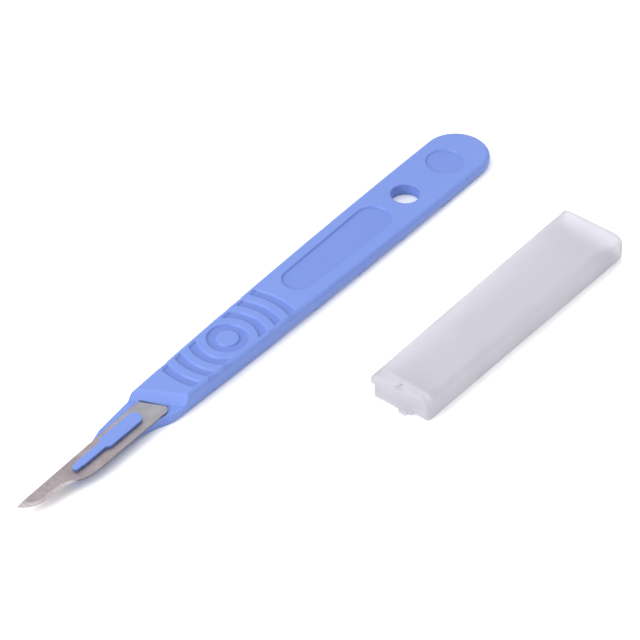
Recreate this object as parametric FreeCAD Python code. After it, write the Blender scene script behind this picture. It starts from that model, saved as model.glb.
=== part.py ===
import FreeCAD, Part
import math
import os

# Disposable surgical scalpel with its fitted blade and its blade cover.
# Millimetres. X runs along the handle towards its round rear end, Y across it, Z up.
# The origin is on the axis of the hanging hole, in the plane that everything rests on.

Vec = FreeCAD.Vector
UP = Vec(0, 0, 1)

# Handle, seen from above
HOLE_RADIUS = 3.0
HOLE_LIP = 0.3                # rounding of both rims of the hanging hole
REAR_CENTRE = 17.4            # centre of the round rear end, behind the hole
REAR_RADIUS = 7.05
SIDE_BOW_RADIUS = 2000.0      # the long sides are very flat arcs
GRIP_CENTRE = -57.2           # centre of the finger grip rings
FRONT_FROM_GRIP = 24.0        # far corner of the front shoulder, ahead of the grip rings
FRONT_HALF_WIDTH = 4.65

# Handle, seen from the side
FRONT_THICKNESS = 4.4
REAR_THICKNESS = 2.4
TOP_EDGE_RADIUS = 0.95
BOTTOM_EDGE_RADIUS = 0.9
PARTING_HEIGHT = 1.15         # the mould's two halves meet at this level
PARTING_STEP = 0.05           # the lower half is smaller by this much all round

# Sloped shoulder behind the blade
SHOULDER_FROM_GRIP = 21.6     # foot of the slope on the centre line, ahead of the grip rings
SHOULDER_TURN = 30.5          # degrees, the slope's foot against the Y axis
SHOULDER_RUN = 1.5            # how far the slope leans back over its height
SHOULDER_EDGE = 0.55          # rounding along its upper edge
CREST_LEAVE_RUN = 3.0         # past the crest the cut rises clear of the top over this run
CREST_LEAVE_RISE = 0.15       # and by this height
SEAT_HEIGHT = 2.3             # flat that the blade lies on

# Nose under the blade, measured ahead of the grip rings and from the centre line
NOSE_FAR_BEND = (33.8, 3.75)
NOSE_FAR_FOOT = (36.8, 2.45)
NOSE_FAR_END = (44.6, 1.25)
NOSE_TIP = (46.2, -0.4)
NOSE_NEAR_END = (44.8, -1.8)
NOSE_NEAR_BEND = (41.0, -2.25)
NECK_FRONT = (30.5, -2.2)
NECK_MIDDLE = (27.3, -2.45)
NECK_REAR = (24.3, -3.27)
CHEEK_FRONT = (21.7, -4.4)
CHEEK_MIDDLE = (20.2, -4.87)
CHEEK_FROM_GRIP = 18.5        # the near side starts to turn in here
NOSE_TIP_THICKNESS = 1.0      # the underside rises towards the tip
NOSE_RISE_FROM_GRIP = 23.0

# Finger grip: a disc and rings, sunk grooves between raised bands
GROOVES = [(2.2, 4.22), (5.95, 8.0), (9.75, 11.8), (13.5, 15.6)]
GROOVE_DEPTH = 0.45
GROOVE_DRAFT = 0.3            # each wall leans out by this much
GROOVE_ROUND = 0.1            # and its upper edge is broken by this much
GRIP_MARGIN = 0.9             # the grooves stop this far inside the sides

# Shallow recesses behind the grip
PANEL_FRONT = -38.1           # ends of the oval panel, which widens with the handle
PANEL_REAR = -6.6
PANEL_FRONT_RADIUS = 3.35
PANEL_REAR_RADIUS = 3.85
PANEL_SIDE = 0.3
PANEL_DEPTH = 0.35
BADGE_CENTRE = 13.6
BADGE_RADIUS = 4.05
BADGE_DEPTH = 0.3
RECESS_DRAFT = 0.15

# Blade: ahead of the rear end of its back or behind its tip, and down from its back
BLADE_THICKNESS = 0.39
BLADE_BACK_SIDE = 2.83        # rear end of the blade's back, from the centre line
BLADE_GAP = 0.2               # between that end and the foot of the shoulder
BLADE_TURN = 1.14             # degrees, the blade's back against the handle
BLADE_BACK_LENGTH = 35.2
BLADE_REAR_CORNER = (-2.25, 5.1)   # these three ahead of the rear end of the back
BLADE_HEEL_ARC = (-1.75, 5.84)
BLADE_HEEL = (0.1, 6.15)
BLADE_SHOULDER = (16.3, 5.83)
BLADE_SHOULDER_ARC = (13.9, 5.45)
BLADE_STEP = (12.2, 4.65)
BLADE_HOLLOW_ARC = (10.9, 4.02)
BLADE_HOLLOW = (8.8, 3.5)
BLADE_BELLY = (5.3, 3.25)
BLADE_BELLY_ARC = (2.0, 2.25)
GRIND_WIDTH = 1.0             # ground band along the cutting edge, on both faces
EDGE_THICKNESS = 0.03

# Nib that holds the blade, ahead of the grip rings and from the nib's own centre line
NIB_SIDE = -0.1
NIB_TURN = 0.2
NIB_REAR = 26.3
NIB_WIDE_END = 36.1
NIB_STEP = 1.0                # length of the slope from wide to narrow
NIB_NARROW_END = 43.4
NIB_TIP_LENGTH = 1.8          # narrower tip ahead of the narrow part
NIB_WIDE_HALF = 1.5
NIB_NARROW_HALF = 0.86
NIB_FRONT_HALF = 0.72
NIB_HEIGHT = 0.85             # head above the blade
NIB_EDGE = 0.15
NIB_OVERLAP = 0.3             # the head covers the rim of the blade's slot by this much
SLOT_CLEARANCE = 0.06

# Cover, lying beside the handle, measured behind the grip rings
COVER_CLOSED_END = 7.3
COVER_MOUTH = 69.9
COVER_SIDE = -36.0            # its centre line at the closed end
COVER_TURN = -1.25            # degrees
COVER_CLOSED_WIDTH = 13.7
COVER_MOUTH_WIDTH = 15.0
COVER_HEIGHT = 5.7
COVER_WALL = 0.65
COVER_TOP_CORNER = 1.9
COVER_BOTTOM_CORNER = 0.7
COVER_END_WALL = 2.6
COVER_END_EDGE = 0.4
END_REBATE_WIDTH = 1.2
END_REBATE_HEIGHT = 3.1
END_REBATE_LENGTH = 1.6
END_STEP_LENGTH = 1.1
END_STEP_HEIGHT = 1.6
END_STEP_WIDTH = 3.9
END_TAB_WIDTH = 1.7
END_TAB_LENGTH = 0.6
END_TAB_SIDE = -1.4
END_NOTCH_WIDTH = 1.6
END_NOTCH_LENGTH = 1.5

FAR_AWAY = 300.0              # size of the blocks that only trim
OVERRUN = 5.0                 # bodies that are trimmed later start this much too long


def line(p, q):
    return Part.LineSegment(Vec(*p), Vec(*q)).toShape()


def arc(p, middle, q):
    return Part.Arc(Vec(*p), Vec(*middle), Vec(*q)).toShape()


def flat(p, z=0.0):
    return (p[0], p[1], z)


def prism(edges, z, height):
    """A closed outline in a level plane, raised straight up."""
    face = Part.Face(Part.Wire(edges))
    return face.translated(Vec(0, 0, z)).extrude(Vec(0, 0, height))


def block(x0, x1, y0, y1, z0, z1):
    return Part.makeBox(x1 - x0, y1 - y0, z1 - z0, Vec(x0, y0, z0))


def ahead(p):
    """A point given ahead of the grip rings, in the part's frame."""
    return (GRIP_CENTRE - p[0], p[1], 0.0)


# The long side is an arc that runs smoothly into the round rear end

FRONT_X = GRIP_CENTRE - FRONT_FROM_GRIP


def side_tangent():
    """Angle round the rear end at which the bowed side takes over."""
    run = REAR_CENTRE - FRONT_X
    depth = SIDE_BOW_RADIUS - REAR_RADIUS
    reach = math.hypot(run, FRONT_HALF_WIDTH)
    known = SIDE_BOW_RADIUS ** 2 - depth ** 2 - reach ** 2
    return math.asin(known / (2 * depth * reach)) - math.atan2(FRONT_HALF_WIDTH, run)


SIDE_ANGLE = side_tangent()
BOW_DEPTH = SIDE_BOW_RADIUS - REAR_RADIUS
BOW_CENTRE = (REAR_CENTRE + BOW_DEPTH * math.sin(SIDE_ANGLE), -BOW_DEPTH * math.cos(SIDE_ANGLE))


def half_width(x):
    """Half the handle's width at x, ahead of the round rear end."""
    return math.sqrt(SIDE_BOW_RADIUS ** 2 - (x - BOW_CENTRE[0]) ** 2) + BOW_CENTRE[1]


def plan_edges(inset, front_x):
    """Outline of the handle from above, drawn in by inset, square at the front."""
    join_x = REAR_CENTRE - (REAR_RADIUS - inset) * math.sin(SIDE_ANGLE)
    join_y = (REAR_RADIUS - inset) * math.cos(SIDE_ANGLE)
    middle_x = (join_x + front_x) / 2
    front_y = half_width(front_x) - inset
    middle_y = half_width(middle_x) - inset
    rear = (REAR_CENTRE + REAR_RADIUS - inset, 0, 0)
    return [
        arc((front_x, front_y, 0), (middle_x, middle_y, 0), (join_x, join_y, 0)),
        arc((join_x, join_y, 0), rear, (join_x, -join_y, 0)),
        arc((join_x, -join_y, 0), (middle_x, -middle_y, 0), (front_x, -front_y, 0)),
        line((front_x, -front_y, 0), (front_x, front_y, 0)),
    ]


TOP_SLOPE = (FRONT_THICKNESS - REAR_THICKNESS) / (REAR_CENTRE + REAR_RADIUS - FRONT_X)


def top_height(x):
    """Height of the flat upper face, which falls towards the rear."""
    return FRONT_THICKNESS - TOP_SLOPE * (x - FRONT_X)


def on_top(tool, x):
    """Lays a tool drawn about the origin on the upper face at x."""
    tool = tool.copy()
    tool.rotate(Vec(0, 0, 0), Vec(0, 1, 0), math.degrees(math.atan(TOP_SLOPE)))
    tool.translate(Vec(x, 0, top_height(x)))
    return tool


def rounded_slab(inset, start, z, height, radius, rounded_z):
    """The handle's outline raised from z, with the edges at one level rounded."""
    slab = prism(plan_edges(inset, start), z, height)
    rim = []
    for edge in slab.Edges:
        box = edge.BoundBox
        if abs(box.ZMin - rounded_z) < 0.01 and box.ZMax - box.ZMin < 0.01 and box.XMax > start + 1.0:
            rim.append(edge)
    return slab.makeFillet(radius, rim)


def long_body():
    """Both mould halves joined, longer in front than the handle ends up.

    The upper half stands square to the sloping top, the lower half square to the underside.
    """
    start = GRIP_CENTRE - NOSE_TIP[0] - OVERRUN
    depth = 2 * FRONT_THICKNESS
    upper = on_top(rounded_slab(0.0, start, -depth, depth, TOP_EDGE_RADIUS, 0.0), 0.0)
    below = block(-FAR_AWAY, FAR_AWAY, -FAR_AWAY, FAR_AWAY, -FAR_AWAY, PARTING_HEIGHT)
    upper = upper.cut(below)
    lower = rounded_slab(PARTING_STEP, start, 0.0, PARTING_HEIGHT, BOTTOM_EDGE_RADIUS, 0.0)
    return upper.fuse(lower)


def nose_trim():
    """Everything the nose's outline keeps, seen from above."""
    far_corner = (FRONT_X, half_width(FRONT_X), 0)
    cheek_x = GRIP_CENTRE - CHEEK_FROM_GRIP
    cheek = (cheek_x, -half_width(cheek_x), 0)
    edges = [
        line(far_corner, ahead(NOSE_FAR_BEND)),
        line(ahead(NOSE_FAR_BEND), ahead(NOSE_FAR_FOOT)),
        line(ahead(NOSE_FAR_FOOT), ahead(NOSE_FAR_END)),
        arc(ahead(NOSE_FAR_END), ahead(NOSE_TIP), ahead(NOSE_NEAR_END)),
        line(ahead(NOSE_NEAR_END), ahead(NOSE_NEAR_BEND)),
        line(ahead(NOSE_NEAR_BEND), ahead(NECK_FRONT)),
        arc(ahead(NECK_FRONT), ahead(NECK_MIDDLE), ahead(NECK_REAR)),
        line(ahead(NECK_REAR), ahead(CHEEK_FRONT)),
        arc(ahead(CHEEK_FRONT), ahead(CHEEK_MIDDLE), cheek),
        line(cheek, (cheek_x, -FAR_AWAY, 0)),
        line((cheek_x, -FAR_AWAY, 0), (FAR_AWAY, -FAR_AWAY, 0)),
        line((FAR_AWAY, -FAR_AWAY, 0), (FAR_AWAY, FAR_AWAY, 0)),
        line((FAR_AWAY, FAR_AWAY, 0), (FRONT_X, FAR_AWAY, 0)),
        line((FRONT_X, FAR_AWAY, 0), far_corner),
    ]
    return prism(edges, -1.0, 3 * FRONT_THICKNESS)


def seat_cutter():
    """The space above the blade's seat, ahead of the sloped shoulder and its rounded crest."""
    rise = FRONT_THICKNESS - SEAT_HEIGHT
    slope = math.atan2(rise, SHOULDER_RUN)
    setback = SHOULDER_EDGE
    start = (SHOULDER_RUN - setback * math.cos(slope), FRONT_THICKNESS - setback * math.sin(slope))
    sag = 0.26 * setback
    middle = (SHOULDER_RUN + sag * math.sin(slope / 2), FRONT_THICKNESS - sag * math.cos(slope / 2))
    end = (SHOULDER_RUN + setback, FRONT_THICKNESS)
    leave = (end[0] + CREST_LEAVE_RUN, end[1] + CREST_LEAVE_RISE)
    top = FRONT_THICKNESS + OVERRUN

    def at(p):
        return (p[0], -FAR_AWAY, p[1])
    edges = [
        line(at((0, SEAT_HEIGHT)), at(start)),
        arc(at(start), at(middle), at(end)),
        line(at(end), at(leave)),
        line(at(leave), at((leave[0], top))),
        line(at((leave[0], top)), at((-FAR_AWAY, top))),
        line(at((-FAR_AWAY, top)), at((-FAR_AWAY, SEAT_HEIGHT))),
        line(at((-FAR_AWAY, SEAT_HEIGHT)), at((0, SEAT_HEIGHT))),
    ]
    cutter = Part.Face(Part.Wire(edges)).extrude(Vec(0, 2 * FAR_AWAY, 0))
    cutter.rotate(Vec(0, 0, 0), UP, SHOULDER_TURN)
    cutter.translate(Vec(GRIP_CENTRE - SHOULDER_FROM_GRIP, 0, 0))
    return cutter


def underside_cutter():
    """The wedge below the nose, whose underside rises towards the tip."""
    start = GRIP_CENTRE - NOSE_RISE_FROM_GRIP
    tip = GRIP_CENTRE - NOSE_TIP[0]
    rise = SEAT_HEIGHT - NOSE_TIP_THICKNESS
    far = start + 2 * (tip - start)
    profile = [(start, 0), (far, 2 * rise), (far, -1), (start, -1)]
    points = [Vec(x, -FAR_AWAY, z) for x, z in profile]
    face = Part.Face(Part.makePolygon(points + points[:1]))
    return face.extrude(Vec(0, 2 * FAR_AWAY, 0))


def groove_tool(inner, outer):
    """One ring-shaped groove about the origin, its upper edges broken."""
    broken = GROOVE_ROUND
    lean = GROOVE_DRAFT
    profile = [
        (inner - broken, 1.0),
        (inner - broken, 0.0),
        (inner, -broken),
        (inner + lean, -GROOVE_DEPTH),
        (outer - lean, -GROOVE_DEPTH),
        (outer, -broken),
        (outer + broken, 0.0),
        (outer + broken, 1.0),
    ]
    points = [Vec(r, 0, z) for r, z in profile]
    face = Part.Face(Part.makePolygon(points + points[:1]))
    return face.revolve(Vec(0, 0, 0), UP, 360)


def cut_grip(body):
    """Sinks the grip's grooves, which stop short of the long sides."""
    window = prism(plan_edges(GRIP_MARGIN, FRONT_X), 0.0, 2 * FRONT_THICKNESS)
    for inner, outer in GROOVES:
        tool = on_top(groove_tool(inner, outer), GRIP_CENTRE)
        body = body.cut(tool.common(window))
    return body


def oval_edges(front, rear, front_radius, rear_radius):
    """An oval with round ends of two radii, joined by straight tangents."""
    front_x = front + front_radius
    rear_x = rear - rear_radius
    sine = (rear_radius - front_radius) / (rear_x - front_x)
    cosine = math.sqrt(1 - sine ** 2)

    def touch(x, radius, side):
        return (x - radius * sine, side * radius * cosine, 0)
    return [
        line(touch(front_x, front_radius, 1), touch(rear_x, rear_radius, 1)),
        arc(touch(rear_x, rear_radius, 1), (rear, 0, 0), touch(rear_x, rear_radius, -1)),
        line(touch(rear_x, rear_radius, -1), touch(front_x, front_radius, -1)),
        arc(touch(front_x, front_radius, -1), (front, 0, 0), touch(front_x, front_radius, 1)),
    ]


def recess_tool(outline, depth):
    """A shallow recess under an outline, with leaning walls and a broken upper edge."""
    def section(grow, z):
        return Part.Wire(outline(grow)).translated(Vec(0, 0, z))
    wall = Part.makeLoft([section(-RECESS_DRAFT, -depth), section(0.0, -GROOVE_ROUND)], True, True)
    lip = Part.makeLoft([section(0.0, -GROOVE_ROUND), section(GROOVE_ROUND, 0.0)], True, True)
    cap = Part.makeLoft([section(GROOVE_ROUND, 0.0), section(GROOVE_ROUND, 1.0)], True, True)
    return wall.fuse([lip, cap]).removeSplitter()


def panel_outline(grow):
    half = (PANEL_REAR - PANEL_FRONT) / 2 + grow
    edges = oval_edges(-half, half, PANEL_FRONT_RADIUS + grow, PANEL_REAR_RADIUS + grow)
    return [edge.translated(Vec(0, PANEL_SIDE, 0)) for edge in edges]


def badge_outline(grow):
    return [Part.makeCircle(BADGE_RADIUS + grow)]


def lip_points(level, side):
    """Arc of a rounded rim from the hole's wall, then a straight run that leaves the face."""
    turn = math.radians(70)

    def on_arc(angle):
        r = HOLE_RADIUS + HOLE_LIP * (1 - math.cos(angle))
        return (r, 0, level + side * HOLE_LIP * (math.sin(angle) - 1))
    end = on_arc(turn)
    out = (end[0] + math.sin(turn), 0, end[2] + side * math.cos(turn))
    return on_arc(0.0), on_arc(turn / 2), end, out


def bore_hole(body):
    """Cuts the hanging hole with both rims rounded."""
    top = lip_points(top_height(0.0), 1)
    low = lip_points(0.0, -1)
    edges = [
        line((0, 0, low[3][2]), low[3]),
        line(low[3], low[2]),
        arc(low[2], low[1], low[0]),
        line(low[0], top[0]),
        arc(top[0], top[1], top[2]),
        line(top[2], top[3]),
        line(top[3], (0, 0, top[3][2])),
        line((0, 0, top[3][2]), (0, 0, low[3][2])),
    ]
    tool = Part.Face(Part.Wire(edges)).revolve(Vec(0, 0, 0), UP, 360)
    return body.cut(tool)


def nib_edges(grow):
    """Outline of the nib along its own centre line, wide and round at the rear."""
    wide = NIB_WIDE_HALF + grow
    narrow = NIB_NARROW_HALF + grow
    front = NIB_FRONT_HALF + grow
    rear_x = GRIP_CENTRE - NIB_REAR + grow
    round_x = rear_x - wide
    wide_x = GRIP_CENTRE - NIB_WIDE_END
    step_x = wide_x - NIB_STEP
    narrow_x = GRIP_CENTRE - NIB_NARROW_END
    front_x = narrow_x - NIB_TIP_LENGTH - grow
    return [
        arc((round_x, -wide, 0), (rear_x, 0, 0), (round_x, wide, 0)),
        line((round_x, wide, 0), (wide_x, wide, 0)),
        line((wide_x, wide, 0), (step_x, narrow, 0)),
        line((step_x, narrow, 0), (narrow_x, narrow, 0)),
        line((narrow_x, narrow, 0), (narrow_x, front, 0)),
        line((narrow_x, front, 0), (front_x + front, front, 0)),
        arc((front_x + front, front, 0), (front_x, 0, 0), (front_x + front, -front, 0)),
        line((front_x + front, -front, 0), (narrow_x, -front, 0)),
        line((narrow_x, -front, 0), (narrow_x, -narrow, 0)),
        line((narrow_x, -narrow, 0), (step_x, -narrow, 0)),
        line((step_x, -narrow, 0), (wide_x, -wide, 0)),
        line((wide_x, -wide, 0), (round_x, -wide, 0)),
    ]


def place_nib(shape):
    """Turns a shape drawn on the nib's centre line to where the nib lies."""
    shape = shape.copy()
    shape.rotate(Vec(GRIP_CENTRE - NIB_WIDE_END, 0, 0), UP, NIB_TURN)
    shape.translate(Vec(0, NIB_SIDE, 0))
    return shape


def nib():
    """Post through the blade's slot, and the head that covers the slot's rim."""
    post = prism(nib_edges(-NIB_OVERLAP), SEAT_HEIGHT - 0.5, BLADE_THICKNESS + 1.0)
    head = prism(nib_edges(0.0), SEAT_HEIGHT + BLADE_THICKNESS, NIB_HEIGHT)
    top = SEAT_HEIGHT + BLADE_THICKNESS + NIB_HEIGHT
    rim = [e for e in head.Edges if e.BoundBox.ZMin > top - 0.01]
    head = head.makeFillet(NIB_EDGE, rim)
    return place_nib(post.fuse(head))


def handle():
    """The whole moulding: body, sloped shoulder, nose, grip, recesses, hole and nib."""
    body = long_body().common(nose_trim())
    body = body.cut(underside_cutter())
    body = body.cut(seat_cutter())
    body = cut_grip(body)
    panel_x = (PANEL_FRONT + PANEL_REAR) / 2
    body = body.cut(on_top(recess_tool(panel_outline, PANEL_DEPTH), panel_x))
    body = body.cut(on_top(recess_tool(badge_outline, BADGE_DEPTH), BADGE_CENTRE))
    body = bore_hole(body)
    return body.fuse(nib()).removeSplitter()


def from_rear(p):
    """A point given ahead of the rear end of the blade's back, counted from the tip."""
    return (BLADE_BACK_LENGTH - p[0], p[1], 0)


def blade_edges(inset):
    """Outline of the blade; inset draws in the ground stretch of the cutting edge."""
    def pulled(p, q):
        """p moved towards the inside by inset, along the direction q."""
        size = math.hypot(*q)
        return (p[0] + inset * q[0] / size, p[1] + inset * q[1] / size, 0)
    tip = (1.75 * inset, 0, 0)
    belly_arc = pulled(BLADE_BELLY_ARC, (0.66, -0.75))
    belly = pulled(BLADE_BELLY, (0.05, -1))
    hollow = pulled(BLADE_HOLLOW, (0.15, -1))
    end = flat(BLADE_STEP)
    hollow_arc = (BLADE_HOLLOW_ARC[0], BLADE_HOLLOW_ARC[1] - 0.6 * inset, 0)
    heel = from_rear(BLADE_HEEL)
    rear_corner = from_rear(BLADE_REAR_CORNER)
    return [
        arc(tip, belly_arc, belly),
        line(belly, hollow),
        arc(hollow, hollow_arc, end),
        arc(end, flat(BLADE_SHOULDER_ARC), flat(BLADE_SHOULDER)),
        line(flat(BLADE_SHOULDER), heel),
        arc(heel, from_rear(BLADE_HEEL_ARC), rear_corner),
        line(rear_corner, from_rear((0, 0))),
        line(from_rear((0, 0)), tip),
    ]


def place_blade(shape):
    """From the blade's own frame, tip first and edge down, to its seat before the shoulder."""
    foot = GRIP_CENTRE - SHOULDER_FROM_GRIP
    foot -= BLADE_BACK_SIDE * math.tan(math.radians(SHOULDER_TURN))
    shape = shape.mirror(Vec(0, 0, 0), Vec(0, 1, 0))
    shape.translate(Vec(-BLADE_BACK_LENGTH, 0, 0))
    shape.rotate(Vec(0, 0, 0), UP, BLADE_TURN)
    shape.translate(Vec(foot - BLADE_GAP, BLADE_BACK_SIDE, SEAT_HEIGHT))
    return shape


def blade():
    """Flat steel blade, ground from both faces to its cutting edge, with a slot for the nib."""
    lower_z = (BLADE_THICKNESS - EDGE_THICKNESS) / 2
    upper_z = lower_z + EDGE_THICKNESS
    full = Part.Wire(blade_edges(0.0))
    ground = Part.Wire(blade_edges(GRIND_WIDTH))
    low = Part.makeLoft([ground, full.translated(Vec(0, 0, lower_z))], True, True)
    middle = prism(blade_edges(0.0), lower_z, EDGE_THICKNESS)
    high = Part.makeLoft(
        [full.translated(Vec(0, 0, upper_z)), ground.translated(Vec(0, 0, BLADE_THICKNESS))],
        True, True)
    body = place_blade(low.fuse([middle, high]).removeSplitter())
    slot = prism(nib_edges(SLOT_CLEARANCE - NIB_OVERLAP), SEAT_HEIGHT - 1.0, BLADE_THICKNESS + 2.0)
    return body.cut(place_nib(slot))


def cover_section(x, half, low, high, top_corner, bottom_corner):
    """One cross-section of the cover, a box with rounded corners."""
    def corner(y, z, radius, side, level):
        diagonal = radius * (1 - math.sqrt(0.5))
        on_side = (x, side * half, z)
        middle = (x, side * (half - diagonal), level - math.copysign(diagonal, level - z))
        return on_side, middle, (x, y, level)
    top = corner(half - top_corner, high - top_corner, top_corner, 1, high)
    top_far = corner(-(half - top_corner), high - top_corner, top_corner, -1, high)
    low_near = corner(half - bottom_corner, low + bottom_corner, bottom_corner, 1, low)
    low_far = corner(-(half - bottom_corner), low + bottom_corner, bottom_corner, -1, low)
    return Part.Wire([
        arc(low_near[2], low_near[1], low_near[0]),
        line(low_near[0], top[0]),
        arc(top[0], top[1], top[2]),
        line(top[2], top_far[2]),
        arc(top_far[2], top_far[1], top_far[0]),
        line(top_far[0], low_far[0]),
        arc(low_far[0], low_far[1], low_far[2]),
        line(low_far[2], low_near[2]),
    ])


def cover_half(x, inset):
    """Half the cover's width at x from its closed end."""
    length = COVER_MOUTH - COVER_CLOSED_END
    grow = (COVER_MOUTH_WIDTH - COVER_CLOSED_WIDTH) / length
    return (COVER_CLOSED_WIDTH + grow * x) / 2 - inset


def cover_shape(x0, x1, inset):
    """The cover's form between two stations, drawn in by inset all round."""
    sections = []
    for x in (x0, x1):
        sections.append(cover_section(
            x, cover_half(x, inset), inset, COVER_HEIGHT - inset,
            COVER_TOP_CORNER - inset, max(COVER_BOTTOM_CORNER - inset, 0.2)))
    return Part.makeLoft(sections, True, True)


def blade_cover():
    """Moulded sleeve, open at one end, with a stepped block at the closed end."""
    length = COVER_MOUTH - COVER_CLOSED_END
    body = cover_shape(0.0, length, 0.0)
    rim = [e for e in body.Edges if e.BoundBox.XMax < 0.01]
    body = body.makeFillet(COVER_END_EDGE, rim)
    body = body.cut(cover_shape(COVER_END_WALL, length + 1.0, COVER_WALL))
    half = COVER_CLOSED_WIDTH / 2
    rebate = block(-1, END_REBATE_LENGTH, half - END_REBATE_WIDTH, half + 2, -1, END_REBATE_HEIGHT)
    step = block(-1, END_STEP_LENGTH, -half - 2, -half + END_STEP_WIDTH, -1, END_STEP_HEIGHT)
    notch = Part.Face(Part.makePolygon([
        Vec(-1, END_NOTCH_WIDTH / 2, 0),
        Vec(0, END_NOTCH_WIDTH / 2, 0),
        Vec(END_NOTCH_LENGTH, 0, 0),
        Vec(0, -END_NOTCH_WIDTH / 2, 0),
        Vec(-1, -END_NOTCH_WIDTH / 2, 0),
        Vec(-1, END_NOTCH_WIDTH / 2, 0),
    ]))
    notch = notch.translated(Vec(0, 0, COVER_HEIGHT - COVER_WALL)).extrude(Vec(0, 0, 2))
    tab = block(-END_TAB_LENGTH, END_STEP_LENGTH, END_TAB_SIDE - END_TAB_WIDTH / 2,
                END_TAB_SIDE + END_TAB_WIDTH / 2, 0, COVER_WALL + 0.15)
    body = body.cut([rebate, step, notch]).fuse(tab).removeSplitter()
    body.rotate(Vec(0, 0, 0), UP, COVER_TURN)
    body.translate(Vec(GRIP_CENTRE + COVER_CLOSED_END, COVER_SIDE, 0))
    return body


def main():
    os.makedirs("parts", exist_ok=True)
    nodes = {"handle": handle(), "blade": blade(), "blade_cover": blade_cover()}
    for name, shape in nodes.items():
        solid = shape.Solids[0]
        box = solid.BoundBox
        print(name, "solids", len(shape.Solids), "valid", solid.isValid(),
              "volume %.1f mm3" % solid.Volume,
              "x %.2f..%.2f y %.2f..%.2f z %.2f..%.2f" % (
                  box.XMin, box.XMax, box.YMin, box.YMax, box.ZMin, box.ZMax))
        solid.exportStep("parts/" + name + ".step")


main()
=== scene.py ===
# %% [markdown]
# # A disposable scalpel and its blade cover
# The packed model comes in as the fixed frame: a moulded handle, a steel blade and a cover.
# This script gives each of them its finish, sets a pale floor under them and lights them softly.
# Every length is in metres, +X runs along the handle to its round end and +Z points up.

import bpy
import numpy as np
from mathutils import Matrix, Vector


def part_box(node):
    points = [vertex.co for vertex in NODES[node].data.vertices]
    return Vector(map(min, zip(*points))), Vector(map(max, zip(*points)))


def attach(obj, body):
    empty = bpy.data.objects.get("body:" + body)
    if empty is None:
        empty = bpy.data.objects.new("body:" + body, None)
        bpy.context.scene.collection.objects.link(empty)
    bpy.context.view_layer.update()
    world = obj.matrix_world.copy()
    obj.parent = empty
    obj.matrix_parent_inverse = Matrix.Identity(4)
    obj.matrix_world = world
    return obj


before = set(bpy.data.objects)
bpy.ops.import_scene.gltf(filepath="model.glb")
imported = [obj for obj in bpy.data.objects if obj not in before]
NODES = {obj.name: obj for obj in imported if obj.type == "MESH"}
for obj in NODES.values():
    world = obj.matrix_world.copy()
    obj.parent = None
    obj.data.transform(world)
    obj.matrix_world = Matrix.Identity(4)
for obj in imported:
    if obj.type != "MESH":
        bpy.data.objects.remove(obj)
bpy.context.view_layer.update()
for name in ("handle", "blade", "blade_cover"):
    low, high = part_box(name)
    print(name, "size in mm", [round(1000 * v, 2) for v in (high - low)])

# %% [markdown]
# ## Shader arithmetic that reads like a formula
# A pattern in a material is arithmetic on the coordinates of the point that gets its shade, and
# Blender does such sums with Math nodes. Placing and linking them one by one hides the formula.
# `Wire` wraps one output socket and adds the nodes by itself, so that a mask can be written as
# `1 - mask` and a roughness as `0.4 + 0.1 * grain`.

# %% a socket that can be reckoned with


class Wire:
    """One socket that can be added, subtracted and multiplied like a number."""

    def __init__(self, paint, socket):
        self.paint = paint
        self.socket = socket

    def _math(self, kind, other, flip=False):
        first, second = (other, self) if flip else (self, other)
        return self.paint.node("ShaderNodeMath", {"operation": kind}, {0: first, 1: second})

    def __add__(self, other):
        return self._math("ADD", other)

    __radd__ = __add__

    def __mul__(self, other):
        return self._math("MULTIPLY", other)

    __rmul__ = __mul__

    def __sub__(self, other):
        return self._math("SUBTRACT", other)

    def __rsub__(self, other):
        return self._math("SUBTRACT", other, flip=True)

    def high(self, other):
        """The higher of two values."""
        return self._math("MAXIMUM", other)

    def wave(self):
        return self._math("SINE", 0.0)

    def rise(self, start, end):
        """A smooth step from 0 at start to 1 at end."""
        return self.paint.node("ShaderNodeMapRange", {"interpolation_type": "SMOOTHSTEP"}, {
            "Value": self, "From Min": start, "From Max": end})

    def band(self, start, end, soft):
        """1 between start and end, 0 outside, with borders that are twice soft wide."""
        return self.rise(start - soft, start + soft) * (1 - self.rise(end - soft, end + soft))


print("a Wire also has", [name for name in vars(Wire) if not name.startswith("_")])

# %% [markdown]
# ## One class for a material
# Every finish here is a Principled shader with a few patterns in front of it. `Paint` makes the
# material, and its methods add one node, mix two colours or set the shader's own sockets. The
# patterns read object coordinates, so they stay on the part when it is seen from elsewhere.

# %% a material and its nodes


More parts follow.
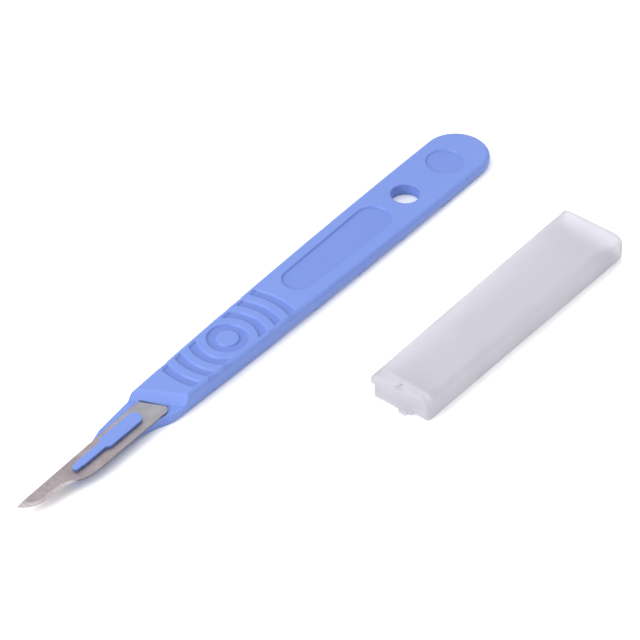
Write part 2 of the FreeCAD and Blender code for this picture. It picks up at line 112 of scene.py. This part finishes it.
class Paint:
    """A material built from procedural patterns over object coordinates."""

    def __init__(self, name):
        self.material = bpy.data.materials.new(name)
        self.material.use_nodes = True
        self.tree = self.material.node_tree
        self.shader = self.tree.nodes["Principled BSDF"]
        self.point = self.node("ShaderNodeTexCoord", out="Object")

    def node(self, kind, settings=None, inputs=None, out=0):
        """Adds a node, sets its properties and inputs, and returns one output as a Wire."""
        made = self.tree.nodes.new(kind)
        for key, value in (settings or {}).items():
            setattr(made, key, value)
        for key, value in (inputs or {}).items():
            self.feed(made.inputs[key], value)
        return Wire(self, made.outputs[out])

    def feed(self, socket, value):
        """Links a Wire to a socket, or sets a plain value on it."""
        if isinstance(value, Wire):
            self.tree.links.new(value.socket, socket)
        else:
            socket.default_value = value

    def set(self, **values):
        """Feeds the shader's sockets, with _ for the spaces in their names."""
        for key, value in values.items():
            self.feed(self.shader.inputs[key.replace("_", " ")], value)

    def axis(self, letter, vector=None):
        """One coordinate, X, Y or Z, of the object point or of another vector."""
        source = self.point if vector is None else vector
        return self.node("ShaderNodeSeparateXYZ", {}, {0: source}, letter)

    def noise(self, scale, detail=3.0, rough=0.5, stretch=(1, 1, 1)):
        """A cloudy pattern around 0.5; a small stretch on an axis draws it out along that axis."""
        at = self.node("ShaderNodeMapping", {}, {"Vector": self.point, "Scale": stretch})
        settings = {"Vector": at, "Scale": scale, "Detail": detail, "Roughness": rough}
        return self.node("ShaderNodeTexNoise", {}, settings)

    def blend(self, share, first, second):
        """A colour that goes from first to second as share goes from 0 to 1."""
        made = self.tree.nodes.new("ShaderNodeMix")
        made.data_type = "RGBA"
        self.feed(made.inputs["Factor"], share)
        for key, value in (("A", first), ("B", second)):
            socket = [s for s in made.inputs if s.name == key and s.type == "RGBA"][0]
            self.feed(socket, value)
        return Wire(self, [s for s in made.outputs if s.type == "RGBA"][0])

    def bump(self, height, strength, distance):
        """A normal that makes height look embossed, distance metres deep at a height of 1."""
        return self.node("ShaderNodeBump", {}, {
            "Height": height, "Strength": strength, "Distance": distance})


def linear(*srgb):
    """An sRGB colour from 0 to 255 as the linear colour that shaders use.

    Each share c becomes ((c + 0.055) / 1.055) ^ 2.4, or c / 12.92 where it is very dark.
    """
    c = np.array(srgb, float) / 255
    line = np.where(c <= 0.04045, c / 12.92, ((c + 0.055) / 1.055) ** 2.4)
    return tuple(float(v) for v in line) + (1.0,)


def wear(node_name, paint):
    """Gives one CAD node its material."""
    mesh = NODES[node_name].data
    mesh.materials.clear()
    mesh.materials.append(paint.material)
    print(node_name, "wears", paint.material.name)


print("mid grey 128 is linear", round(linear(128)[0], 3))

# %% [markdown]
# ## The handle's top
# The top falls evenly towards the round rear end, and each long side is a very flat arc. Both
# are simple formulas of x. They are written once here, because the grip's surface and the masks
# of the plastic both need them: arithmetic that suits numpy's arrays suits a Wire as well.

# %% sizes of the handle's top
MM = 0.001
FRONT_X = -81.2 * MM              # front corner of the top
REAR_X = 24.45 * MM               # round rear end
REAR_CENTRE_X = 17.4 * MM         # centre of the rear end's round
TOP_AT_FRONT = 4.4 * MM           # height of the top at its front corner
TOP_AT_REAR = 2.4 * MM
TOP_SLOPE = (TOP_AT_FRONT - TOP_AT_REAR) / (REAR_X - FRONT_X)
HALF_WIDTH_AT_FRONT = 4.65 * MM
HALF_WIDTH_AT_REAR = 7.05 * MM
SIDE_BOW = 0.6075 * MM            # how far a long side bows out at its middle
EDGE_RADIUS = 0.95 * MM           # rounding along the top's long edges


def top_height(x):
    """Height of the flat top: the front height less the slope times the way from the front."""
    return TOP_AT_FRONT - TOP_SLOPE * (x - FRONT_X)


def half_width(x):
    """Half the handle's width at a share s of the way from the front to the rear centre.

    It grows evenly from the front value to the rear one, plus the bow times 4 s (1 - s).
    """
    share = (x - FRONT_X) * (1 / (REAR_CENTRE_X - FRONT_X))
    widening = (HALF_WIDTH_AT_REAR - HALF_WIDTH_AT_FRONT) * share
    return HALF_WIDTH_AT_FRONT + widening + 4 * SIDE_BOW * share * (1 - share)


GRIP_X = -57.2 * MM               # centre of the grip's rings
print("top over the rings in mm", round(float(top_height(GRIP_X)) / MM, 3))
print("half width there in mm", round(float(half_width(GRIP_X)) / MM, 3))

# %% [markdown]
# ## The handle's blue plastic
# Moulded polypropylene: an even cornflower blue with a soft satin sheen. The mould's fine
# spark-eroded grain breaks up the highlight, and the colour drifts by a hair across the part.
# The sunk floors have a duller finish than the raised bands, and their colour is painted a little
# darker as shade in the recesses. Where steel meets plastic, behind the blade and low on the nib's
# walls, hardly any light gets in, and that shade is painted into the colour too. A painted
# picture could show both, but it would need an unwrapped mesh. Masks worked out from the depth
# below the top, the height and the distance behind the blade's slanted end need none, and stay
# sharp from near by.

# %% masks on the handle
SUNK_DEPTHS = (0.16 * MM, 0.75 * MM)          # depths under the top that sunk floors have
SIDE_FADE = (0.5 * MM, 0.8 * MM)              # no sunk floor lies nearer to a long side
FIRST_GROOVE = (-73.6 * MM, -73.4 * MM)       # the sunk floors start here
BEHIND_GRIP = (-41.0 * MM, -40.0 * MM)        # the panel and the recess behind here show less
NIB_REAR = (-82.9 * MM, -82.6 * MM)           # the nib lies ahead of this
NIB_WALL = (2.55 * MM, 3.22 * MM)             # heights of its walls
BLADE_END_X = -79.35 * MM                     # the blade's rear end on the middle line
BLADE_END_SLANT = 0.465                       # how much further forward it is for each metre of y
SLIT = (-0.1 * MM, 0.62 * MM)                 # distances behind the blade's end
SLIT_HEIGHTS = (2.2 * MM, 2.75 * MM)
SLIT_SIDES = (-2.35 * MM, 2.95 * MM)          # the slit's ends, near side and far side

blue = Paint("cornflower polypropylene")
bx, by, bz = (blue.axis(letter) for letter in "XYZ")
depth = top_height(bx) - bz
inside = half_width(bx) - by.high(-1 * by)
# Mask of the sunk floors: it paints shade into their colour and gives them their duller finish.
sunk_floor_shade_and_dullness = depth.band(*SUNK_DEPTHS, 0.07 * MM) * inside.rise(*SIDE_FADE)
sunk_floor_shade_and_dullness = sunk_floor_shade_and_dullness * bx.rise(*FIRST_GROOVE) * (1 - 0.55 * bx.rise(*BEHIND_GRIP))
nib_wall = bz.band(*NIB_WALL, 0.06 * MM) * (1 - bx.rise(*NIB_REAR))
behind_blade = bx - BLADE_END_X + BLADE_END_SLANT * by
slit = behind_blade.band(*SLIT, 0.08 * MM) * bz.band(*SLIT_HEIGHTS, 0.08 * MM)
slit = slit * by.band(*SLIT_SIDES, 0.15 * MM)
# Painted shade where steel meets plastic: behind the blade's end and low on the nib's walls.
contact_shade = (0.8 * slit).high(0.6 * nib_wall)
print("nodes for the masks", len(blue.tree.nodes))

# %% handle material
drift = blue.noise(60.0, 2.0)
cloudy = blue.noise(700.0, 3.0, 0.55)
grain = blue.noise(9000.0, 2.0, 0.6)
tone = blue.blend(drift, linear(99, 124, 192), linear(104, 129, 197))
tone = blue.blend(0.10 * cloudy, tone, linear(92, 116, 188))
# Painted shade: the sunk floors are painted a little darker.
tone = blue.blend(0.6 * sunk_floor_shade_and_dullness, tone, linear(88, 110, 181))
blue.set(
    # The dark blue here is painted shade where steel meets plastic.
    Base_Color=blue.blend(contact_shade, tone, linear(44, 52, 92)),
    Roughness=0.38 + 0.10 * grain + 0.10 * sunk_floor_shade_and_dullness,
    Normal=blue.bump(grain, 0.25, 0.02 * MM),
    Subsurface_Weight=0.08,
    Subsurface_Scale=0.6 * MM,
    Subsurface_Radius=(0.5, 0.7, 1.0),
    IOR=1.49,
)
wear("handle", blue)

# %% [markdown]
# ## The grip as a height map
# The thumb grip is a disc with rings round it, sunk into the sloping top. The CAD handle has the
# rings with plain walls; on the real moulding their corners are rounded and the grooves run out
# softly towards both long sides. Bevels on cut rings could round the corners, but not fade a
# groove along its length. A height over a grid of points says both in one formula, so the grip
# gets a fine skin of its own that follows the solid's top and lies a hair above it.

# %% the height of the grip
GROOVES = np.array([(2.2, 4.22), (5.95, 8.0), (9.75, 11.8), (13.5, 15.6)]) * MM  # inner, outer radius
GROOVE_DEPTH = 0.41 * MM
WALL = 0.4 * MM                   # width of a groove's rounded wall
WALL_SHIFT = 0.05 * MM            # the wall starts this far outside the groove
GROOVE_MARGIN = 0.92 * MM         # the grooves end this far from the long sides
RUN_OUT = 0.6 * MM                # and reach their depth over this much


def ease(t):
    """Smooth step of an array: 3 t^2 - 2 t^3, held at 0 below and at 1 above."""
    t = np.clip(t, 0.0, 1.0)
    return t * t * (3.0 - 2.0 * t)


def grip_height(x, y):
    """Height of the grip at x and y.

    The flat top, less the drop of the rounded long edge, R - sqrt(R^2 - t^2) for a run t past
    its start, less the grooves: each is a smooth step down at its inner radius and a smooth step
    up at its outer one, times a fade that ends the groove before the long side.
    """
    inside = half_width(x) - np.abs(y)
    past = np.clip(EDGE_RADIUS - inside, 0.0, EDGE_RADIUS)
    drop = EDGE_RADIUS - np.sqrt(EDGE_RADIUS ** 2 - past ** 2)
    r = np.hypot(x - GRIP_X, y)
    sunk = np.zeros_like(r)
    for inner, outer in GROOVES:
        sunk += ease((r - inner + WALL_SHIFT) / WALL) * ease((outer + WALL_SHIFT - r) / WALL)
    fade = ease((inside - GROOVE_MARGIN) / RUN_OUT)
    return top_height(x) - drop - GROOVE_DEPTH * sunk * fade


rise_mm = (grip_height(GRIP_X, 0.0) - grip_height(GRIP_X + GROOVES[0].mean(), 0.0)) / MM
print("the disc stands", round(float(rise_mm), 3), "mm over the first groove")

# %% the grip's skin
SKIN_REACH = 16.5 * MM            # the skin's half length
SKIN_MARGIN = 0.74 * MM           # it stops this far from the long sides
SKIN_PROUD = 0.012 * MM           # it lies this much above the solid's top
RIM_DIP = 0.03 * MM               # its rim dips this much below the top
RIM_RUN = 0.25 * MM               # over this much
SKIN_DEPTH = 0.8 * MM             # its lower face lies this far under the top


def grip_skin(columns=300, rows=100):
    """A closed slab whose upper face is the height map and whose lower face is inside the solid.

    A grid of x and of a share t of the half width, so that y = t (half width - margin). The upper
    face is the grip's height plus a smooth step from below the solid's top to just above it.
    """
    along = np.linspace(GRIP_X - SKIN_REACH, GRIP_X + SKIN_REACH, columns)
    across = np.linspace(-1.0, 1.0, rows)
    x, t = np.meshgrid(along, across, indexing="ij")
    y = t * (half_width(x) - SKIN_MARGIN)
    from_rim = np.minimum(SKIN_REACH - np.abs(x - GRIP_X), 2.0 * (1.0 - np.abs(t)) * half_width(x))
    proud = (SKIN_PROUD + RIM_DIP) * ease(from_rim / RIM_RUN) - RIM_DIP
    upper = np.stack([x, y, grip_height(x, y) + proud], axis=-1).reshape(-1, 3)
    lower = np.stack([x, y, top_height(x) - SKIN_DEPTH], axis=-1).reshape(-1, 3)
    count = columns * rows
    grid = np.arange(count).reshape(columns, rows)
    cells = np.stack([grid[:-1, :-1], grid[1:, :-1], grid[1:, 1:], grid[:-1, 1:]], -1).reshape(-1, 4)
    loop = np.concatenate([grid[:, 0], grid[-1, 1:], grid[-2::-1, -1], grid[0, -2:0:-1]])
    after = np.roll(loop, -1)
    walls = np.stack([loop, loop + count, after + count, after], axis=-1)
    faces = np.concatenate([cells, cells[:, ::-1] + count, walls])
    return np.concatenate([upper, lower]), faces.tolist()


def blue_piece(name, points, faces, smooth):
    """Puts points and faces into a mesh of blue plastic that rides with the handle."""
    mesh = bpy.data.meshes.new(name)
    mesh.from_pydata(points.tolist(), [], faces)
    mesh.polygons.foreach_set("use_smooth", np.full(len(faces), smooth))
    mesh.materials.append(blue.material)
    mesh.update()
    piece = bpy.data.objects.new(name, mesh)
    bpy.context.scene.collection.objects.link(piece)
    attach(piece, "root")
    print(name, "has", len(faces), "faces")


blue_piece("grip_skin", *grip_skin(), smooth=True)

# %% [markdown]
# ## The nose's far edge
# Beside the blade's back the moulding runs out in one slim straight wedge, where the solid turns
# in a little earlier. A box could be cut and bevelled to this shape. One outline seen from above,
# carried up through four levels from the rising underside to the blade's seat, needs no cuts; its
# lowest and its top outline are shifted inwards a little, which softens the long outer edges.

# %% nose wedge
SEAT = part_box("blade")[0][2]      # height of the flat that the blade lies on
UNDER_FROM = GRIP_X - 23.0 * MM   # the nose's underside starts to rise here
UNDER_SLOPE = 1.3 / 23.2
WEDGE_OUTLINE = np.array([(30.6, 3.4), (30.6, 4.06), (33.8, 3.76), (38.8, 2.28), (36.8, 2.2)]) * MM
FOOT_CLEARANCE = 0.25 * MM        # the wedge starts this far above the underside
FOOT_HEIGHT = 0.2 * MM            # height of its drawn-in foot
FOOT_DRAW = 0.12 * MM
TOP_DRAW = 0.1 * MM
RIM_BELOW_SEAT = 0.12 * MM        # the upper rim starts this far below the seat
TOP_BELOW_SEAT = 0.004 * MM


def nose_wedge():
    """One outline at four levels: each is the outline shifted in y, at its own height.

    The outline's points are a distance ahead of the grip's centre and a y.
    """
    x = GRIP_X - WEDGE_OUTLINE[:, 0]
    y = WEDGE_OUTLINE[:, 1]
    foot = UNDER_SLOPE * (UNDER_FROM - x) + FOOT_CLEARANCE
    levels = [
        np.stack([x, y - FOOT_DRAW, foot], axis=-1),
        np.stack([x, y, foot + FOOT_HEIGHT], axis=-1),
        np.stack([x, y, np.full_like(x, SEAT - RIM_BELOW_SEAT)], axis=-1),
        np.stack([x, y - TOP_DRAW, np.full_like(x, SEAT - TOP_BELOW_SEAT)], axis=-1),
    ]
    count = len(x)
    ring = np.arange(count)
    after = np.roll(ring, -1)
    walls = [np.stack([ring, after, after + count, ring + count], -1) + k * count for k in range(3)]
    caps = [ring[::-1].tolist(), (ring + 3 * count).tolist()]
    return np.concatenate(levels), np.concatenate(walls).tolist() + caps


blue_piece("nose_wedge", *nose_wedge(), smooth=False)

# %% [markdown]
# ## The blade's steel
# Rolled carbon steel is a mottled satin grey with faint lengthwise streaks, a little warmer
# towards the tip. Along the cutting edge it is ground from both faces: that band is brighter, and
# its fine scratches run across the edge. The sheared rim is painted dark: partly its duller cut
# steel, partly painted shade on its upright faces. Three material slots could hold the three
# finishes, but the CAD mesh is kept as it is. So one material finds its own places: from the
# height, because the ground band slopes down from the flat face, and from the normal.

# %% masks on the blade
BLADE_LOW, BLADE_HIGH = (corner[2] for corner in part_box("blade"))
FACE_SKIN = 0.02 * MM             # what lies deeper than this under a face is ground or sheared
TOOTH = 1.05 * MM                 # period of the marks that the grinding leaves along the edge
WARM_TO_GREY = (-95 * MM, -80 * MM)

steel = Paint("satin blade steel")
sx, sz = (steel.axis(letter) for letter in "XZ")
ground = sz.band(BLADE_LOW + FACE_SKIN, BLADE_HIGH - FACE_SKIN, 0.01 * MM)
teeth = (sx * (2 * np.pi / TOOTH)).wave()
upright = steel.axis("Z", steel.node("ShaderNodeNewGeometry", out="Normal"))
# The sheared rim's upright faces: dark cut steel plus painted shade.
sheared_and_shaded = 1 - upright.high(-1 * upright).rise(0.3, 0.7)
print("blade lies between", round(BLADE_LOW / MM, 3), "and", round(BLADE_HIGH / MM, 3), "mm")

# %% blade material
streaks = steel.noise(1500.0, 3.0, 0.6, (0.05, 1.0, 1.0))
scratches = steel.noise(6000.0, 2.0, 0.7, (1.0, 0.08, 0.08))
mottle = steel.noise(900.0, 5.0, 0.65)
blotch = steel.noise(220.0, 2.0, 0.5)
face = steel.blend(mottle.rise(0.3, 0.7), linear(145, 135, 138), linear(161, 152, 155))
face = steel.blend(sx.rise(*WARM_TO_GREY), face, linear(158, 157, 162))
face = steel.blend(0.35 * blotch.rise(0.45, 0.7), face, linear(128, 120, 124))
bright = steel.blend(scratches.rise(0.3, 0.7), linear(152, 144, 147), linear(174, 167, 170))
bright = steel.blend(0.12 + 0.12 * teeth, bright, linear(140, 132, 136))
flat_or_ground = steel.blend(ground, face, bright)
steel.set(
    # The sheared rim's colour is partly its cut steel, partly painted shade.
    Base_Color=steel.blend(sheared_and_shaded, flat_or_ground, linear(104, 100, 106)),
    Metallic=0.85,
    Roughness=0.42 + 0.12 * streaks - 0.10 * ground,
    Normal=steel.bump(streaks + 0.6 * mottle, 0.25, 0.01 * MM),
)
wear("blade", steel)

# %% [markdown]
# ## The cover's milky plastic
# Thin natural polypropylene: light passes through it and is scattered on the way. Subsurface
# scattering alone would look like wax, with no hint of the hollow inside. A transmission of 0.8
# under a rough surface lets the walls and the open mouth show. A faint cloudiness varies along
# the moulding, and the tone is a little greyer near both ends. A trace of emission stands for
# the light that the thin walls pass on from the white table.

# %% cover material
COVER_END, COVER_MOUTH = (corner[0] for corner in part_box("blade_cover"))
NEAR_MOUTH = (COVER_MOUTH - 13 * MM, COVER_MOUTH - 3 * MM)
NEAR_END = (COVER_END + 2 * MM, COVER_END + 12 * MM)

milk = Paint("natural polypropylene")
mx = milk.axis("X")
cloud = milk.noise(180.0, 4.0, 0.55, (0.4, 1.0, 1.0))
ripple = milk.noise(2500.0, 2.0, 0.5)
greyer = 0.4 * mx.rise(*NEAR_MOUTH) + 0.25 * (1 - mx.rise(*NEAR_END))
milky = milk.blend(cloud, linear(226, 226, 232), linear(236, 235, 240))
milk.set(
    Base_Color=milk.blend(greyer, milky, linear(198, 197, 206)),
    Roughness=0.42 + 0.10 * cloud,
    Normal=milk.bump(ripple, 0.12, 0.02 * MM),
    Transmission_Weight=0.8,
    IOR=1.40,
    Emission_Color=(0.93, 0.92, 1.0, 1.0),
    Emission_Strength=0.035,
)
wear("blade_cover", milk)
print("cover runs from", round(COVER_END / MM, 2), "to", round(COVER_MOUTH / MM, 2), "mm")

# %% [markdown]
# ## Floor
# The photograph was taken on a bright, almost shadowless table. A wide pale sheet under the
# part is enough. It lies a hair below the part, so that the two never share a plane.

# %% floor
FLOOR_HALF = 3.0
FLOOR_LEVEL = -0.02 * MM

white = Paint("pale table")
white.set(
    Base_Color=white.blend(white.noise(300.0, 2.0), (0.92, 0.92, 0.93, 1), (0.94, 0.94, 0.95, 1)),
    Roughness=0.7,
)
corners = np.array([(-1, -1, 0), (1, -1, 0), (1, 1, 0), (-1, 1, 0)]) * FLOOR_HALF
sheet = bpy.data.meshes.new("floor")
sheet.from_pydata((corners + (0, 0, FLOOR_LEVEL)).tolist(), [], [(0, 1, 2, 3)])
sheet.materials.append(white.material)
floor = bpy.data.objects.new("floor", sheet)
bpy.context.scene.collection.objects.link(floor)
print("floor is", 2 * FLOOR_HALF, "m wide")

# %% [markdown]
# ## Light
# Many lamps all round could give the even light of the photograph; a white surrounding does it
# with none. A large soft light overhead lifts the top faces a little above the sides, and a
# smaller one from the left brightens the faces towards the blade.

# %% lights
world = bpy.data.worlds.new("studio")
bpy.context.scene.world = world
world.use_nodes = True
world.node_tree.nodes["Background"].inputs["Color"].default_value = (1.0, 1.0, 1.0, 1)
world.node_tree.nodes["Background"].inputs["Strength"].default_value = 1.0

TARGET = Vector((-0.030, -0.018, 0.0))       # the middle of the part, where the lights aim


def area_light(name, place, size, power):
    """A square soft light at place, turned to the part."""
    data = bpy.data.lights.new(name, "AREA")
    data.shape = "SQUARE"
    data.size = size
    data.energy = power
    lamp = bpy.data.objects.new(name, data)
    bpy.context.scene.collection.objects.link(lamp)
    back = (Vector(place) - TARGET).normalized()
    side = Vector((0, 1, 0)).cross(back).normalized()
    lamp.matrix_world = Matrix((side, back.cross(side), back)).transposed().to_4x4()
    lamp.location = place
    print(name, "light stands", round((lamp.location - TARGET).length, 2), "m from the part")


area_light("overhead", (0.0, 0.1, 0.9), 0.9, 3.0)
area_light("left", (-0.75, 0.16, 0.36), 0.3, 4.5)

# %% [markdown]
# ## Camera
# The camera stands where the photographer's did: about 41 degrees above the table, looking
# along the handle from the blade's side with a long lens. Its place and its axes were worked
# out from the photograph with the standard blade's length as the scale.

# %% camera
EYE = Vector((-0.417445, -0.313131, 0.430851))
RIGHT = Vector((0.618898, -0.785384, -0.011716))
UP = Vector((0.526405, 0.403654, 0.748305))
FOCAL_PIXELS = 3300.0             # the lens as a distance in pixels of the photograph
PHOTO_PIXELS = 640.0
SENSOR = 36.0

camera = bpy.data.objects.new("camera", bpy.data.cameras.new("camera"))
bpy.context.scene.collection.objects.link(camera)
camera.data.sensor_width = SENSOR
camera.data.lens = FOCAL_PIXELS / PHOTO_PIXELS * SENSOR
camera.data.clip_start = 0.01
camera.data.clip_end = 20.0
camera.matrix_world = Matrix((RIGHT, UP, RIGHT.cross(UP))).transposed().to_4x4()
camera.location = EYE
bpy.context.scene.camera = camera
bpy.context.scene.view_settings.view_transform = "Standard"
print("camera distance in m", round((EYE - TARGET).length, 3))

# %% [markdown]
# ## Finish
# The box before and after says that the dressed part is as large as the CAD part.

# %% finish
